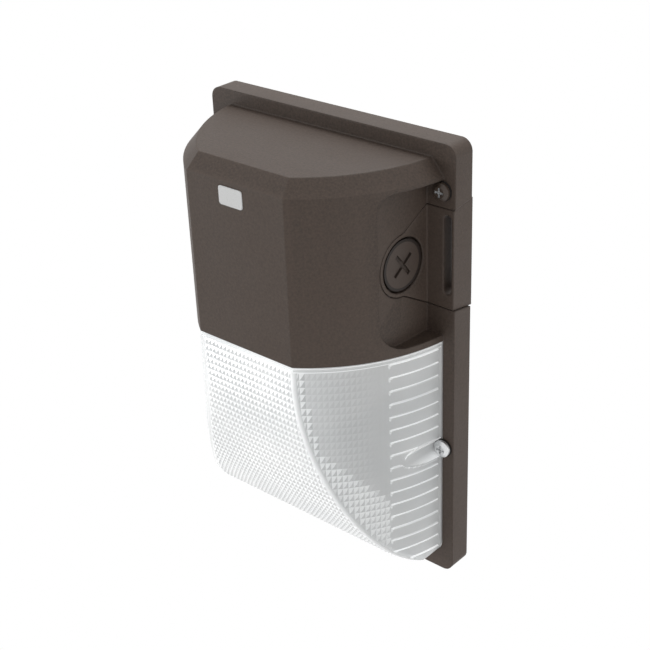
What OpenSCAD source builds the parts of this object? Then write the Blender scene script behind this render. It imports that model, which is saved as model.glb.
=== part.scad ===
// Wall pack light: domed cast housing over a clear refractor lens.
// Wall plane at Y = 0, the front faces -Y, +X is right and +Z is up.

/* [Front housing] */
// Width of the rim
rim_w = 144; // [141:0.5:152]
// Height of the rim
rim_h = 220; // [216:1:240]
// Outer corner radius of the rim
rim_r = 5.5; // [4:0.5:9]
// Wall plane to the rim's front face
rim_front = 13.4; // [13.2:0.1:14.5]
// Gap between the rim's rear edge and the wall
rim_setback = 1.5; // [1.3:0.1:1.9]
// Thickness of the rim's front plate
rim_t = 2.4; // [2.1:0.1:2.6]
// Thickness of the rim's side skirt
skirt_t = 1.6; // [1.2:0.1:1.8]
// Wall plane to the dome's flat front
dome_depth = 73; // [70:0.5:80]
// Thickness of the dome's walls
dome_wall = 2.4; // [1.8:0.1:3]
// Width of the curved side beside the flat front, with the rim
front_side = 43.5; // [40:0.5:47]
// Width of the rim beside the dome
dome_side = 6.1; // [5.6:0.1:7.5]
// Radius of the dome's curved sides
side_r = 84; // [75:1:110]
// Height of the rim above the dome's top
dome_drop = 7; // [4:0.5:9]
// Height of the dome's chamfer
crown_h = 7.4; // [5.5:0.1:9]
// Depth of the chamfer from the front
crown_in = 6.4; // [4:0.1:9]
// Height of the dome's lower edge above the centre
dome_low = 16.8; // [15:0.1:18.5]
// Width of the inward rim that seals on the rear box
inner_rim = 7.4; // [6.5:0.1:8]

/* [Side pocket] */
// Step from the curved side in to the pocket floor's front edge
pocket_step = 0.2; // [0.1:0.05:0.8]
// Depth of the pocket floor from its front edge to the rim
pocket_deep = 31.5; // [30:0.1:32.6]
// Lean of the pocket floor, degrees
pocket_lean = 3.5; // [2:0.5:6]
// Distance of the pocket's top below the rim's top
pocket_drop = 16; // [15:0.5:20]
// Height of the pocket's bottom above the centre
pocket_low = 19.8; // [19.4:0.1:24]
// Radius of the pocket's lower front corner
pocket_low_r = 13; // [6:0.5:16]
// Radius of the pocket's upper front corner
pocket_top_r = 8; // [4:0.5:14]

/* [Conduit boss and ear] */
// Distance of the conduit axis from the pocket floor's front edge
conduit_u = 16; // [15.5:0.1:17]
// Height of the conduit axis above the pocket's middle
conduit_up = 0.4; // [-2:0.1:3]
// Radius of the boss's rounded front
boss_r = 14.6; // [14.2:0.1:15]
// Distance between the boss's root and the pocket's ends
boss_side = 13.5; // [12.6:0.1:16]
// Extra half height of the boss at the wall
boss_flare = 2.4; // [1:0.1:3]
// Gap between the driver and the boss's inner end
driver_room = 6; // [5.5:0.1:8]
// Radius of the threaded conduit hole
conduit_r = 9.8; // [9:0.1:10.2]
// Radius of the seat around the plug's head
seat_r = 12.9; // [12.7:0.1:13.2]
// Radius of the plug's head
plug_r = 11.9; // [11.5:0.1:12.1]
// Depth of that seat
seat_deep = 3.4; // [3.2:0.1:4]
// Gap between the boss and the housing
seam_gap = 0.4; // [0.3:0.1:0.6]
// Reach of the straight gap inward of the hinge axis, for the door's swing
swing_room = 7; // [6:0.5:9]
// Step from the rim's side in to the ear's outer face
ear_step = 0.7; // [0.4:0.1:1.1]
// Width of the ear's slot
slot_w = 4.4; // [4.2:0.1:4.6]
// Height of the boss's root beyond the ear's slot
slot_end = 9.2; // [8.2:0.1:16]
// Distance of the slot's middle from the rim's side
slot_in = 4; // [3.8:0.1:4.2]
// Height of the slot's middle above the conduit axis
slot_up = 2; // [0:0.1:2.5]
// Thickness of the ear beside the slot
ear_t = 6; // [4:0.1:8]
// Width of the ear's hollow back beside the slot's middle
ear_hollow = 4.8; // [4:0.1:5.2]
// Distance that the ear runs in from the rim's side
ear_w = 22; // [18:0.5:24]

/* [Rear box] */
// Distance of the rear box's side from the rim's side
box_side = 10.8; // [10.6:0.1:11.2]
// Distance of the rear box's ends from the rim's ends
box_end = 8.5; // [8:0.1:9]
// Corner radius of the rear box
box_r = 5; // [3:0.5:8]
// Thickness of its walls
box_wall = 2.4; // [2:0.1:3]
// Thickness of its floor
box_floor = 3.6; // [3.2:0.1:4]
// Wall plane to the top of its walls
box_deep = 9.6; // [9.2:0.1:10.2]
// Radius of the wire entry
entry_r = 11; // [8:0.5:13]
// Radius of the wall screw holes
wall_hole_r = 2.4; // [2:0.1:2.8]
// Spacing of the upright pair of wall screw holes
wall_pitch_z = 83.3; // [80:0.1:90]
// Spacing of the level pair of wall screw holes
wall_pitch_x = 88.9; // [80:0.1:92]
// Radius of the tray posts
post_r = 3.4; // [3:0.1:4]

/* [Hinge and cover screws] */
// Distance of the hinge axis from the rim's side
hinge_in = 4; // [3.8:0.1:4.2]
// Distance of the hinge axis from the wall
hinge_y = 6.4; // [6.2:0.1:6.6]
// Distance of each hinge from the rim's end
hinge_end = 16; // [15:0.5:18]
// Radius of the hinge knuckle
knuckle_r = 2.3; // [2.1:0.1:2.4]
// Length of the housing's knuckle
knuckle_h = 5; // [4:0.5:6]
// Thickness of each hinge arm
arm_t = 3; // [2.5:0.1:3.5]
// Radius of the hinge pin
pin_r = 1.3; // [1.1:0.1:1.4]
// Gap along the hinge between knuckle and arm
hinge_gap = 0.4; // [0.3:0.1:0.6]
// Running gap around pins, screws and plugs
run_gap = 0.06; // [0.04:0.01:0.09]
// Distance of the upper cover screw from the rim's side
screw_up_side = 6.4; // [6:0.1:7]
// Distance of the upper cover screw from the rim's top
screw_up_drop = 21; // [20:0.1:22]
// Distance of the lower cover screw from the rim's side
screw_low_side = 5.4; // [5.2:0.1:5.6]
// Distance of the lower cover screw below the centre
screw_low_z = 39.5; // [36:0.5:44]
// Radius of the cover screw's shank
shank_r = 2; // [1.8:0.1:2.1]
// Radius of the cover screw's head
head_r = 4.2; // [3.8:0.1:4.4]
// Height of the cover screw's head
head_h = 2.4; // [2:0.1:3]
// Thickness of the captive washer
washer_t = 0.8; // [0.6:0.1:1]
// Radius of the captive washer
washer_r = 4.5; // [4.3:0.1:4.7]
// Radius of the screw post in the rear box
screw_post_r = 3.3; // [3.1:0.1:3.4]
// Depth of the screws' tips from the wall
tip_y = 4; // [3:0.1:5]

/* [Lens] */
// Step from the dome's surface in to the lens
lens_step = 0.8; // [0.5:0.1:1.2]
// Thickness of the lens
lens_t = 2.6; // [2:0.1:3]
// Height of the lens's lowest point above the rim's lower end
lens_end = 7.7; // [7.5:0.1:12]
// Height where the lens's front begins to curve back
lens_bend = 9.6; // [4:0.1:12]
// Radius of the lens's lower corners at the rim
lens_corner = 9; // [5:0.5:14]
// Gap between the dome's lower edge and the lens
lens_gap = 0.4; // [0.3:0.1:0.6]
// Height of the lens's lip inside the dome
lip_h = 8; // [5:0.5:12]
// Thickness of that lip
lip_t = 2; // [1.5:0.1:2.2]
// Outward reach of the lens's hidden flange
flange_reach = 2.6; // [2:0.1:2.8]
// Thickness of the lens's hidden flange
flange_t = 1.8; // [1.4:0.1:2]
// Thickness of the lens gasket
lens_seal_t = 0.9; // [0.7:0.1:1]
// Radius of the driver channel beside the lower screw
channel_r = 5.2; // [4.9:0.1:6]

/* [Inside] */
// Wall plane to the rear of the gear tray
tray_y = 15; // [14.6:0.1:15.4]
// Thickness of the gear tray
tray_t = 1; // [0.8:0.1:1.2]
// Distance of the tray's sides from the rim's sides
tray_side = 16; // [15.5:0.1:18]
// Gap between the tray's upper part and the boss's inner end
tray_room = 2; // [1.5:0.1:4]
// Distance of the tray's lower edge from the rim's lower end
tray_end = 16; // [15:0.5:20]
// Distance of the tray's upper edge from the rim's top
tray_drop = 20; // [18:0.5:21]
// Width of the driver
driver_w = 76; // [60:1:80]
// Distance of the driver's top below the window's middle
driver_drop = 10.4; // [9.5:0.1:12]
// Height of the driver case
driver_h = 48; // [40:1:49]
// Depth of the driver case
driver_d = 28; // [22:1:34]
// Width of the LED board
board_w = 92; // [84:1:98]
// Height of the LED board
board_h = 84; // [76:1:86]
// Distance of the board's middle below the centre
board_z = 37; // [35:0.5:38]
// Thickness of the LED board
board_t = 1.6; // [1.2:0.1:2]
// Side of one LED chip
chip = 3.6; // [3:0.1:4]
// Height of one LED chip
chip_h = 0.8; // [0.6:0.1:1]
// Thickness of the reflector
mirror_t = 1; // [0.8:0.1:1.2]
// Height of the reflector's side walls
mirror_wall = 11; // [6:0.5:13]
// Radius of the round openings over the chips
mirror_hole = 4.4; // [3.6:0.1:5]
// Radius of the small screws inside
small_r = 1.5; // [1.3:0.1:1.6]
// Radius of the small screws' heads
small_head = 2.8; // [2.5:0.1:3]
// Height of the small screws' heads
small_head_h = 1.6; // [1.3:0.1:2]
// Radius of the leads
lead_r = 1; // [0.8:0.1:1.2]

/* [Light sensor window] */
// Width of the window
window_w = 14; // [12:0.1:16]
// Height of the window
window_h = 8.8; // [7:0.1:10]
// Corner radius of the window
window_r = 1.4; // [0.8:0.1:2]
// Offset of the window's middle from the centre
window_x = -2; // [-4:0.1:4]
// Distance of the window's middle below the chamfer's lower edge
window_drop = 6.2; // [5.6:0.1:7]
// Amount that the window stands proud
window_proud = 0.3; // [0.1:0.05:0.6]
// Width of the hidden ledge around the window
window_ledge = 1.2; // [0.8:0.1:1.5]
// Thickness of the hidden ledge
window_ledge_t = 1; // [0.8:0.1:1.2]

/* [Hidden] */
$fn = 64;

// Overrun of every cut past the face it leaves
over = 1;
// Small gap that keeps seated pieces from sharing material
fit_gap = 0.05;

bronze = [0.23, 0.2, 0.17];
clear_c = [0.85, 0.88, 0.9, 0.6];
steel_c = [0.75, 0.75, 0.76];
rubber_c = [0.08, 0.08, 0.08];
white_c = [0.93, 0.93, 0.92];

rim_back = rim_front - rim_t;
// Half widths, counted in from the rim's side
front_half = rim_w / 2 - front_side;
root_half = rim_w / 2 - dome_side;
ear_x = rim_w / 2 - ear_step;
slot_x = rim_w / 2 - slot_in;
ear_back = slot_x - ear_hollow;
ear_in = rim_w / 2 - ear_w;
box_half = rim_w / 2 - box_side;
hinge_x = rim_w / 2 - hinge_in;
screw_up_x = rim_w / 2 - screw_up_side;
screw_low_x = rim_w / 2 - screw_low_side;
tray_half = rim_w / 2 - tray_side;
boss_in = driver_w / 2 + driver_room;
tray_neck = boss_in - tray_room;
// Heights above the centre, counted from the rim's ends
dome_top = rim_h / 2 - dome_drop;
crown_low = dome_top - crown_h;
window_z = crown_low - window_drop;
driver_z = window_z - driver_drop - driver_h;
pocket_top = rim_h / 2 - pocket_drop;
conduit_z = (pocket_top + pocket_low) / 2 + conduit_up;
boss_root = (pocket_top - pocket_low) / 2 - boss_side;
slot_h = 2 * boss_root - slot_end;
box_tall = rim_h / 2 - box_end;
hinge_z = rim_h / 2 - hinge_end;
screw_up_z = rim_h / 2 - screw_up_drop;
lens_low = rim_h / 2 - lens_end;
tray_low = rim_h / 2 - tray_end;
tray_top = rim_h / 2 - tray_drop;
// Centre of the curved sides, from the front edge and the rim
arc_a = [front_half, -dome_depth];
arc_b = [root_half, -rim_front];
arc_mid = (arc_a + arc_b) / 2;
arc_u = (arc_b - arc_a) / norm(arc_b - arc_a);
arc_reach = sqrt(side_r * side_r - pow(norm(arc_b - arc_a) / 2, 2));
arc_c = arc_mid + [-arc_u[1], arc_u[0]] * arc_reach;
// Front edge of the pocket floor, where the curved side meets it
pocket_y = rim_front + pocket_deep;
pocket_x = arc_c[0] + sqrt(side_r * side_r - pow(pocket_y + arc_c[1], 2)) - pocket_step;
conduit_y = pocket_y - conduit_u * cos(pocket_lean);
conduit_deep = (pocket_x + conduit_u * sin(pocket_lean) - boss_in) * 0.92;
lens_top = dome_low - lens_gap;
lens_in = lens_step + lens_t;
lip_out = dome_wall + lens_gap;
seal_half = root_half - inner_rim;
seal_top = box_tall - box_wall;
hinge_half = knuckle_h / 2;
flange_front = rim_back - lens_seal_t;
flange_back = flange_front - flange_t;
board_top = tray_y + tray_t + board_t;
// Mounting tabs of the driver
tab_x = driver_w * 0.4;
tab_h = driver_h * 0.16;
mirror_y = board_top + fit_gap;

// Rounded rectangle in the X-Z plane
module rounded(w, h, r) {
    square([w - 2 * r, h], center = true);
    square([w, h - 2 * r], center = true);
    for (x = [-1, 1], z = [-1, 1])
        translate([x * (w / 2 - r), z * (h / 2 - r)])
            circle(r);
}

// The same rectangle as a slab between two distances from the wall
module slab(w, h, r, front, rear) {
    translate([0, -rear, 0])
        rotate([90, 0, 0])
            linear_extrude(front - rear)
                rounded(w, h, r);
}

// Plain block between two corners, the depths counted from the wall
module block(x0, x1, front, rear, z0, z1) {
    translate([x0, -front, z0])
        cube([x1 - x0, front - rear, z1 - z0]);
}

// Cylinder along the depth, from one distance to the wall to another
module peg(x, z, r, front, rear) {
    translate([x, -rear, z])
        rotate([90, 0, 0])
            cylinder(r = r, h = front - rear);
}

// Solid with the dome's sides and crown, inset from its surface
module dome(inset, low, high, rear) {
    face = dome_depth - inset;
    intersection() {
        for_side(1) curved_side(inset, low, high);
        for_side(-1) curved_side(inset, low, high);
        translate([-rim_w, 0, 0])
            rotate([90, 0, 90])
                linear_extrude(2 * rim_w)
                    polygon([[-rear, low], [-face, low], [-face, crown_low],
                             [crown_in - face, high], [-rear, high]]);
    }
}

// One curved side: upright up to the chamfer, then tapering in
module curved_side(inset, low, high) {
    reach = side_r - inset;
    translate([arc_c[0], arc_c[1], low])
        cylinder(r = reach, h = crown_low - low, $fn = 180);
    translate([arc_c[0], arc_c[1], crown_low])
        cylinder(r1 = reach, r2 = reach - crown_in, h = high - crown_low, $fn = 180);
}

// Dome's plan shape, inset from its surface, between two heights
module plan(inset, low, high, rear) {
    intersection() {
        for_side(1) translate([arc_c[0], arc_c[1], low])
            cylinder(r = side_r - inset, h = high - low, $fn = 180);
        for_side(-1) translate([arc_c[0], arc_c[1], low])
            cylinder(r = side_r - inset, h = high - low, $fn = 180);
        block(-rim_w, rim_w, dome_depth - inset, rear, low, high);
    }
}

// Right side as drawn, left side mirrored
module for_side(s) {
    if (s > 0) children();
    else mirror([1, 0, 0]) children();
}

// Leaning frame of the pocket: X out of the floor, Y along it towards the wall
module on_floor() {
    translate([pocket_x, -pocket_y, 0])
        rotate([0, 0, -pocket_lean])
            children();
}

// Pocket in the right side, grown by a margin, ending at the rim's front
module pocket(grow) {
    intersection() {
        on_floor() translate([-grow, -grow, 0])
            rotate([90, 0, 90])
                linear_extrude(rim_w)
                    pocket_face(grow);
        block(0, rim_w, dome_depth, rim_front, 0, rim_h);
    }
}

module pocket_face(grow) {
    long = pocket_y - rim_front + 2 * grow + 2 * over;
    low = pocket_low - grow;
    high = pocket_top + grow;
    lr = pocket_low_r + grow;
    tr = pocket_top_r + grow;
    polygon([[lr, low], [long, low], [long, high], [tr, high], [tr, high - tr],
             [0, high - tr], [0, low + lr], [lr, low + lr]]);
    translate([lr, low + lr]) circle(lr);
    translate([tr, high - tr]) circle(tr);
}

// Outline of the boss seen from the side, grown by a margin
module boss_face(grow) {
    tall = boss_r + grow;
    root = boss_root + grow;
    foot = root + boss_flare;
    translate([-conduit_y, conduit_z]) circle(tall);
    polygon([[-conduit_y, conduit_z - tall], [-rim_front, conduit_z - root],
             [over, conduit_z - foot], [over, conduit_z + foot],
             [-rim_front, conduit_z + root], [-conduit_y, conduit_z + tall]]);
}

module boss_prism(grow, x0, x1) {
    translate([x0, 0, 0])
        rotate([90, 0, 90])
            linear_extrude(x1 - x0)
                boss_face(grow);
}

module housing_knuckle(z) {
    difference() {
        union() {
            translate([-hinge_x, -hinge_y, z - hinge_half])
                cylinder(r = knuckle_r, h = knuckle_h);
            block(-hinge_x - knuckle_r, -hinge_x + knuckle_r, rim_back + rim_t / 2, hinge_y,
                  z - hinge_half, z + hinge_half);
        }
        translate([-hinge_x, -hinge_y, z - knuckle_h])
            cylinder(r = pin_r + run_gap, h = 2 * knuckle_h);
    }
}

module clip_boss(x) {
    difference() {
        peg(x, -clip_z, clip_boss_r, rim_back + rim_t / 2, flange_back);
        peg(x, -clip_z, clip_screw_r + fit_gap, rim_back, flange_back - over);
    }
}

// Clip positions and sizes
clip_boss_r = small_r + run_gap * 5;
clip_screw_r = small_r * 0.6;
clip_z = lens_low + flange_reach + clip_boss_r + fit_gap * 4;
clip_room = rim_h / 2 - skirt_t - clip_z - run_gap;
clip_x = rim_w * 0.22;
clip_w = rim_w * 0.08;
clip_t = flange_t * 0.45;

module front_housing() {
    color(bronze) {
        difference() {
            union() {
                dome(0, dome_low, dome_top, rim_back);
                slab(rim_w, rim_h, rim_r, rim_front, rim_setback);
            }
            slab(rim_w - 2 * skirt_t, rim_h - 2 * skirt_t, rim_r - skirt_t,
                 rim_back, rim_setback - over);
            difference() {
                dome(dome_wall, dome_low - over, dome_top - dome_wall, rim_front);
                for (s = [-1, 1]) for_side(s) pocket(dome_wall);
            }
            // passage from the dome back into the rear box
            block(-pocket_x + dome_wall, pocket_x - dome_wall, rim_front + over, rim_back - over,
                  dome_low - over, seal_top);
            // lens opening
            lens_hole();
            for (s = [-1, 1]) for_side(s) {
                pocket(0);
                boss_prism(seam_gap, boss_in - over, rim_w);
            }
            // straight room beside the ear on the hinge side, for the door's swing
            block(-rim_w, -hinge_x + swing_room, rim_front + over, rim_setback - over,
                  conduit_z - boss_root - boss_flare - seam_gap,
                  conduit_z + boss_root + boss_flare + seam_gap);
            peg(screw_up_x, screw_up_z, shank_r + washer_t / 2, rim_front + over, rim_back - over);
            peg(screw_low_x, -screw_low_z, shank_r + washer_t / 2, rim_front + over,
                rim_back - over);
            // sensor window
            translate([window_x, -dome_depth + dome_wall + over, window_z])
                rotate([90, 0, 0])
                    linear_extrude(dome_wall + 2 * over)
                        rounded(window_w, window_h, window_r);
            // openings in the skirt for the hinge arms
            for (z = [-hinge_z, hinge_z])
                block(-rim_w, -hinge_x + knuckle_r, rim_back, rim_setback - over,
                      z - hinge_half - hinge_gap * 2 - arm_t,
                      z + hinge_half + hinge_gap * 2 + arm_t);
        }
        for (z = [-hinge_z, hinge_z]) housing_knuckle(z);
        for (s = [-1, 1]) clip_boss(s * clip_x);
    }
}

// Opening that the lens passes through, a little larger than the lens
module lens_hole() {
    intersection() {
        block(-root_half + fit_gap, root_half - fit_gap, rim_front + over, rim_back - over,
              -lens_low - lens_gap, dome_low);
        translate([0, -rim_back + over, rim_h / 2 - lens_low - lens_gap])
            rotate([90, 0, 0])
                linear_extrude(rim_t + 2 * over)
                    rounded(2 * root_half, rim_h, lens_corner);
    }
}

// Solid shape of the lens, inset from its own surface
module lens_shape(inset, top, rear) {
    intersection() {
        plan(lens_step + inset, -rim_h / 2, top, rear);
        translate([-rim_w, 0, 0])
            rotate([90, 0, 90])
                linear_extrude(2 * rim_w)
                    polygon(lens_side(inset, top, rear));
        translate([0, -rear + over, rim_h / 2 - lens_low + inset])
            rotate([90, 0, 0])
                linear_extrude(dome_depth)
                    rounded(2 * (root_half - inset), rim_h, lens_corner - inset);
    }
}

// Side view of the lens: upright front, then a quarter ellipse back to the rim
bend_steps = 44;
function lens_side(inset, top, rear) =
    let (reach = dome_depth - lens_step - inset - rim_front,
         drop = lens_low + lens_bend - inset)
    concat([[-rear, top], [-rear, -lens_low + inset]],
           [for (i = [0 : bend_steps])
               [-rim_front - reach * sin(90 * i / bend_steps),
                lens_bend - drop * cos(90 * i / bend_steps)]],
           [[-rim_front - reach, top]]);

module refractor_lens() {
    color(clear_c)
    difference() {
        union() {
            difference() {
                lens_shape(0, lens_top, rim_back);
                difference() {
                    lens_shape(lens_t, lens_top + over, rim_front);
                    channel(lens_t);
                }
                block(-seal_half, seal_half, rim_front + over, rim_back - over,
                      -lens_low + inner_rim, lens_top + over);
            }
            // shoulder and lip that reach up inside the dome
            difference() {
                union() {
                    plan(lens_step + lens_t / 2, lens_top - lens_t, lens_top, rim_front);
                    plan(lip_out, lens_top - fit_gap, lens_top + lip_h, rim_front);
                }
                plan(lip_out + lip_t, lens_top - lens_t - over, lens_top + lip_h + over,
                     rim_front - over);
            }
            // hidden flange behind the housing's rim
            intersection() {
                slab(2 * (root_half + flange_reach), rim_h, lens_corner,
                     rim_back + fit_gap, flange_back);
                difference() {
                    block(-rim_w, rim_w, flange_front, flange_back,
                          -lens_low - flange_reach, lens_top);
                    block(-box_half - seam_gap, box_half + seam_gap, flange_front + over,
                          flange_back - over, -box_tall - seam_gap, lens_top + over);
                }
            }
            // web that carries the hidden flange
            difference() {
                intersection() {
                    block(-root_half + lens_step, root_half - lens_step, rim_front,
                          flange_back, -lens_low + fit_gap, lens_top);
                    translate([0, -flange_back + over, rim_h / 2 - lens_low + fit_gap])
                        rotate([90, 0, 0])
                            linear_extrude(rim_front)
                                rounded(2 * (root_half - lens_step), rim_h, lens_corner);
                }
                block(-box_half - seam_gap, box_half + seam_gap, rim_front + over,
                      flange_back - over, -box_tall - seam_gap, lens_top + over);
            }
        }
        // room for the lower cover screw and its driver
        channel(0);
        peg(screw_low_x, -screw_low_z, channel_r, rim_front + over, rim_setback);
        // room for the side pockets' walls
        for (s = [-1, 1]) for_side(s) pocket(dome_wall + lens_gap);
        hinge_room();
    }
}

// Room for the lower hinge beside the lens
module hinge_room() {
    tall = hinge_half + 2 * hinge_gap + arm_t + seam_gap;
    block(-rim_w, -hinge_x + knuckle_r + lens_gap, rim_back + over, rim_setback,
          -hinge_z - tall, -hinge_z + tall);
}

// Tapered channel for a screwdriver, grown by a margin
module channel(grow) {
    reach = (dome_depth - rim_front) * 0.75;
    translate([screw_low_x, -rim_front + over, -screw_low_z])
        rotate([90, 0, 0])
            cylinder(r1 = channel_r + grow, r2 = channel_r * 1.75 + grow, h = reach);
}

module lens_gasket() {
    color(rubber_c)
    difference() {
        slab(2 * (root_half + flange_reach), rim_h, lens_corner, rim_back - fit_gap,
             flange_front + fit_gap);
        block(-root_half, root_half, rim_front, flange_back, -lens_low - lens_gap, rim_h);
        block(-rim_w, rim_w, rim_front, flange_back, lens_top, rim_h);
        block(-rim_w, rim_w, rim_front, flange_back, -rim_h, -lens_low - flange_reach);
        peg(screw_low_x, -screw_low_z, channel_r, rim_front, rim_setback);
        hinge_room();
    }
}

module door_gasket() {
    color(rubber_c)
    difference() {
        slab(2 * box_half, 2 * box_tall, box_r, rim_back - fit_gap, box_deep + fit_gap);
        slab(2 * (box_half - box_wall), 2 * (box_tall - box_wall), box_r - box_wall,
             rim_back + over, box_deep - over);
        block(-rim_w, rim_w, rim_front, box_deep - over,
              conduit_z - boss_root - boss_flare, conduit_z + boss_root + boss_flare);
    }
}

module wall_gasket() {
    color(rubber_c)
    difference() {
        slab(2 * (box_half - box_wall), 2 * (box_tall - box_wall), box_r,
             box_floor / 2, 0);
        slab(2 * (box_half - 3 * box_wall), 2 * (box_tall - 3 * box_wall), box_r - box_wall,
             box_floor, -over);
    }
}

// Hinge arms of the rear box
module box_arm(z) {
    difference() {
        union() {
            translate([-hinge_x, -hinge_y, z])
                cylinder(r = knuckle_r, h = arm_t);
            block(-hinge_x, -box_half + box_wall / 2, hinge_y + knuckle_r * 0.7,
                  hinge_y - knuckle_r,
                  z, z + arm_t);
        }
        translate([-hinge_x, -hinge_y, z - over])
            cylinder(r = pin_r + fit_gap, h = arm_t + 2 * over);
    }
}

module screw_post(x, z) {
    difference() {
        union() {
            peg(x, z, screw_post_r, box_deep, 0);
            block(box_half - box_wall / 2, x, box_deep, 0, z - box_wall / 2, z + box_wall / 2);
        }
        peg(x, z, shank_r + run_gap, box_deep + over, tip_y - over);
    }
}

tray_posts = [[tray_half * 0.88, -tray_low * 0.9],
              [tray_half * 0.88, conduit_z * 0.2],
              [tab_x + tab_h / 2 + small_head + run_gap * 2, tray_top * 0.93]];
ground_x = -box_half * 0.5;
ground_z = -box_tall * 0.25;
term_x = box_half * 0.58;
term_z = -box_tall * 0.24;
term_w = box_half * 0.32;
term_h = box_tall * 0.16;

module rear_box() {
    color(bronze) {
        difference() {
            union() {
                slab(2 * box_half, 2 * box_tall, box_r, box_deep, 0);
                for (s = [-1, 1]) for_side(s) {
                    boss_body();
                    ear();
                }
            }
            difference() {
                slab(2 * (box_half - box_wall), 2 * (box_tall - box_wall), box_r - box_wall,
                     box_deep + over, box_floor);
                for (s = [-1, 1]) for_side(s)
                    boss_prism(fit_gap, boss_in, rim_w);
                peg(ground_x, ground_z, post_r, box_deep, 0);
            }
            wall_groove();
            peg(0, 0, entry_r, box_floor + over, -over);
            for (s = [-1, 1]) {
                peg(0, s * wall_pitch_z / 2, wall_hole_r, box_floor + over, -over);
                peg(s * wall_pitch_x / 2, 0, wall_hole_r, box_floor + over, -over);
                for_side(s) {
                    conduit_cut();
                    slot_cut();
                }
            }
            peg(ground_x, ground_z, small_r + fit_gap, box_deep + over, box_floor / 2 + over);
        }
        for (s = [-1, 1], p = tray_posts) tray_post(s * p[0], p[1]);
        screw_post(screw_up_x, screw_up_z);
        screw_post(screw_low_x, -screw_low_z);
        for (z = [-hinge_z, hinge_z]) {
            box_arm(z + hinge_half + hinge_gap);
            box_arm(z - hinge_half - hinge_gap - arm_t);
        }
    }
}

module tray_post(x, z) {
    difference() {
        peg(x, z, post_r, tray_y - fit_gap, box_floor / 2 + over);
        peg(x, z, small_r + fit_gap, tray_y + over, box_floor + over);
    }
}

module wall_groove() {
    difference() {
        slab(2 * (box_half - box_wall + fit_gap), 2 * (box_tall - box_wall + fit_gap),
             box_r, box_floor / 2 + fit_gap, -over);
        slab(2 * (box_half - 3 * box_wall - fit_gap), 2 * (box_tall - 3 * box_wall - fit_gap),
             box_r - box_wall, box_floor, -2 * over);
    }
}

// Wedge-shaped conduit boss, its face level with the pocket floor
module boss_body() {
    difference() {
        boss_prism(0, boss_in, root_half);
        on_floor() translate([0, -rim_h, -rim_h])
            cube([rim_w, 2 * rim_h, 2 * rim_h]);
        block(0, rim_w, 0, -rim_h, -rim_h, rim_h);
    }
}

// Cylinder out of the pocket floor, from one depth to another
module out(from, to, r) {
    on_floor() translate([from, conduit_u, conduit_z])
        rotate([0, 90, 0])
            cylinder(r = r, h = to - from);
}

module ear() {
    intersection() {
        boss_prism(0, ear_in, ear_x);
        block(ear_in, ear_x, rim_front, 0, -rim_h, rim_h);
    }
}

module conduit_cut() {
    out(-conduit_deep - over, over, conduit_r);
    out(-seat_deep, over, seat_r);
}

module slot_cut() {
    mid = conduit_z + slot_up;
    run = (slot_h - slot_w) / 2;
    for (s = [-1, 1])
        peg(slot_x, mid + s * run, slot_w / 2, rim_front + over, -over);
    block(slot_x - slot_w / 2, slot_x + slot_w / 2, rim_front + over, -over,
          mid - run, mid + run);
    block(ear_back, slot_x, rim_front - ear_t, -over, mid - slot_h / 2, mid + slot_h / 2);
}

module hinge_pins() {
    color(steel_c)
    for (z = [-hinge_z, hinge_z])
        translate([-hinge_x, -hinge_y, z - hinge_half - hinge_gap - arm_t])
            cylinder(r = pin_r, h = knuckle_h + 2 * hinge_gap + 2 * arm_t);
}

// Pan-head screw with a crossed recess, its head standing on a washer
module cover_screw(x, z) {
    seat = rim_front + washer_t + fit_gap;
    color(steel_c)
    difference() {
        union() {
            peg(x, z, shank_r, seat + head_h / 2, tip_y);
            peg(x, z, head_r, seat + head_h * 0.55, seat);
            translate([x, -seat - head_h * 0.55, z])
                rotate([90, 0, 0])
                    cylinder(r1 = head_r, r2 = head_r * 0.62, h = head_h * 0.45);
        }
        cross_cut(x, z, seat + head_h, head_r * 1.1, head_r * 0.26, head_h * 0.6);
    }
}

module cross_cut(x, z, face, long, wide, deep) {
    translate([x, -face + deep / 2 - over / 2, z]) {
        cube([long, deep + over, wide], center = true);
        cube([wide, deep + over, long], center = true);
    }
}

module cover_washer(x, z) {
    color(rubber_c)
    difference() {
        peg(x, z, washer_r, rim_front + washer_t, rim_front + fit_gap);
        peg(x, z, shank_r + run_gap, rim_front + washer_t + over, rim_front - over);
    }
}

plug_head_t = seat_deep * 0.6;
plug_seal_t = seat_deep * 0.32;
plug_turn = 38;

module conduit_plug() {
    under = -seat_deep + plug_seal_t;
    top = under + plug_head_t;
    color(bronze)
    difference() {
        union() {
            out(-conduit_deep + plug_seal_t, top, conduit_r - run_gap);
            out(under + fit_gap, top, plug_r);
        }
        out(-conduit_deep - over, under - plug_head_t / 2, conduit_r * 0.78);
        on_floor() translate([top, conduit_u, conduit_z])
            rotate([plug_turn, 0, 0]) {
                cube([plug_head_t * 1.3, conduit_r * 1.35, conduit_r * 0.2], center = true);
                cube([plug_head_t * 1.3, conduit_r * 0.2, conduit_r * 1.35], center = true);
            }
    }
}

module plug_seal() {
    color(rubber_c)
    difference() {
        out(-seat_deep + fit_gap, -seat_deep + plug_seal_t, plug_r);
        out(-seat_deep - over, over, conduit_r + run_gap / 2);
    }
}

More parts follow.
